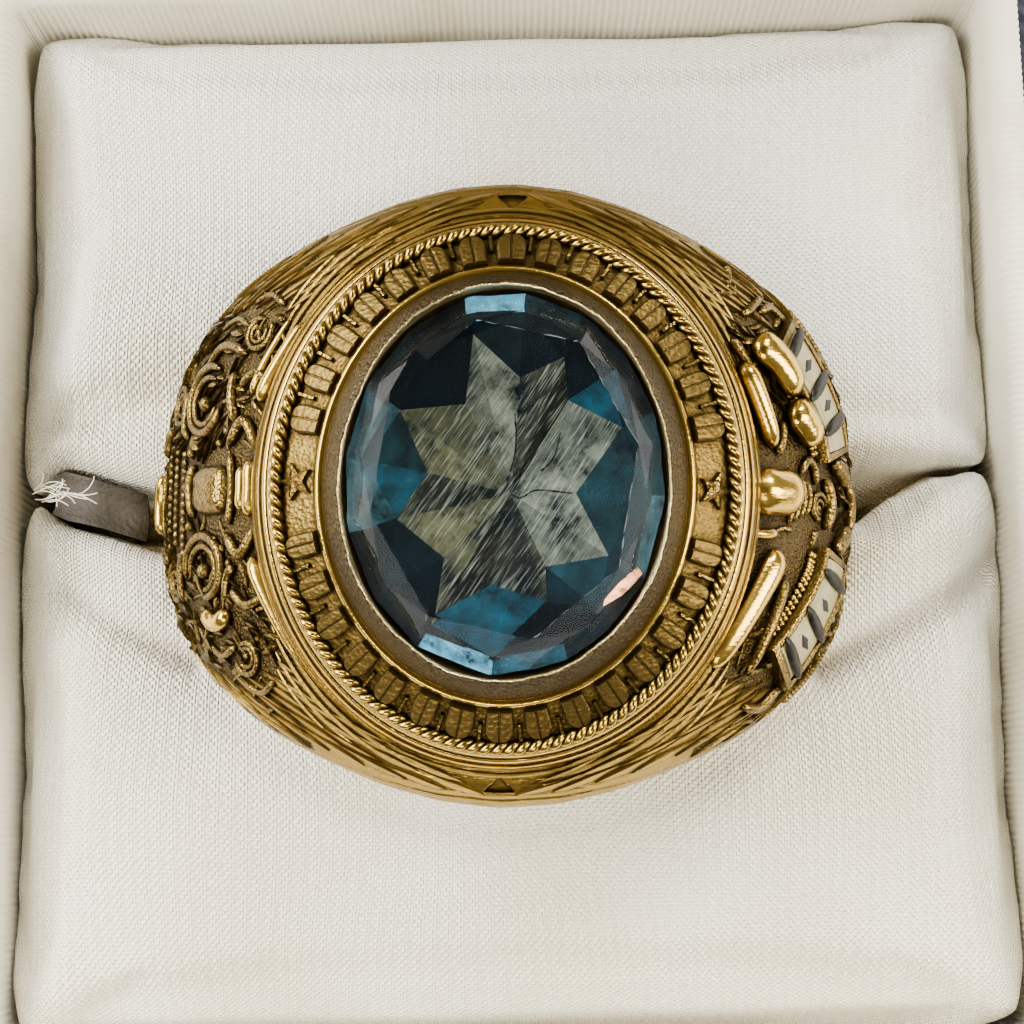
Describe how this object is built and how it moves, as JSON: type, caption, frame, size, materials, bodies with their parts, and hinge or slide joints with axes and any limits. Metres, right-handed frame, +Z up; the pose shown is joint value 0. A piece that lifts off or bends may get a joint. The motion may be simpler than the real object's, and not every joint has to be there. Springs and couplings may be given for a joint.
{
  "type": "class ring in a ring box",
  "caption": "Heavy gold signet-style ring with an oval faceted blue stone, a rope border, ornamented shoulders and enamel ribbons, standing in the slot of an open hinged ring box.",
  "frame": {"origin": "middle of the case's underside, where the box stands on a table", "axes": "+Z up, +X to the right of the open box, the ring's finger hole along Y, the lid's hinge at the back (+Y)"},
  "size_m": [0.0458, 0.0799, 0.0644],
  "materials": {
    "gold": "worn antique gold, polished on high places, dark brown tarnish in the recesses",
    "stone": "polished facets with fine scratches",
    "enamel": "glossy cream enamel with dark specks",
    "cushion": "woven satin with raised dots",
    "collar": "cross-ribbed cream covering",
    "case": "pebbled navy leatherette",
    "hinge": "brushed"
  },
  "bodies": {
    "box": {"ring_body": "gold", "stone": "stone", "upper_enamel": "enamel", "lower_enamel": "enamel", "back_cushion": "cushion", "front_cushion": "cushion", "collar": "collar", "case_tray": "case", "case_hinge": "hinge", "hinge_pin": "hinge"},
    "lid": {"lid_shell": "case", "lid_hinge": "hinge"}
  },
  "joints": [
    {"name": "lid_hinge", "type": "hinge", "parent": "box", "child": "lid", "pos_m": [0, 0.02516, 0.01615], "axis": [1, 0, 0], "range_deg": [0, 100]}
  ]
}
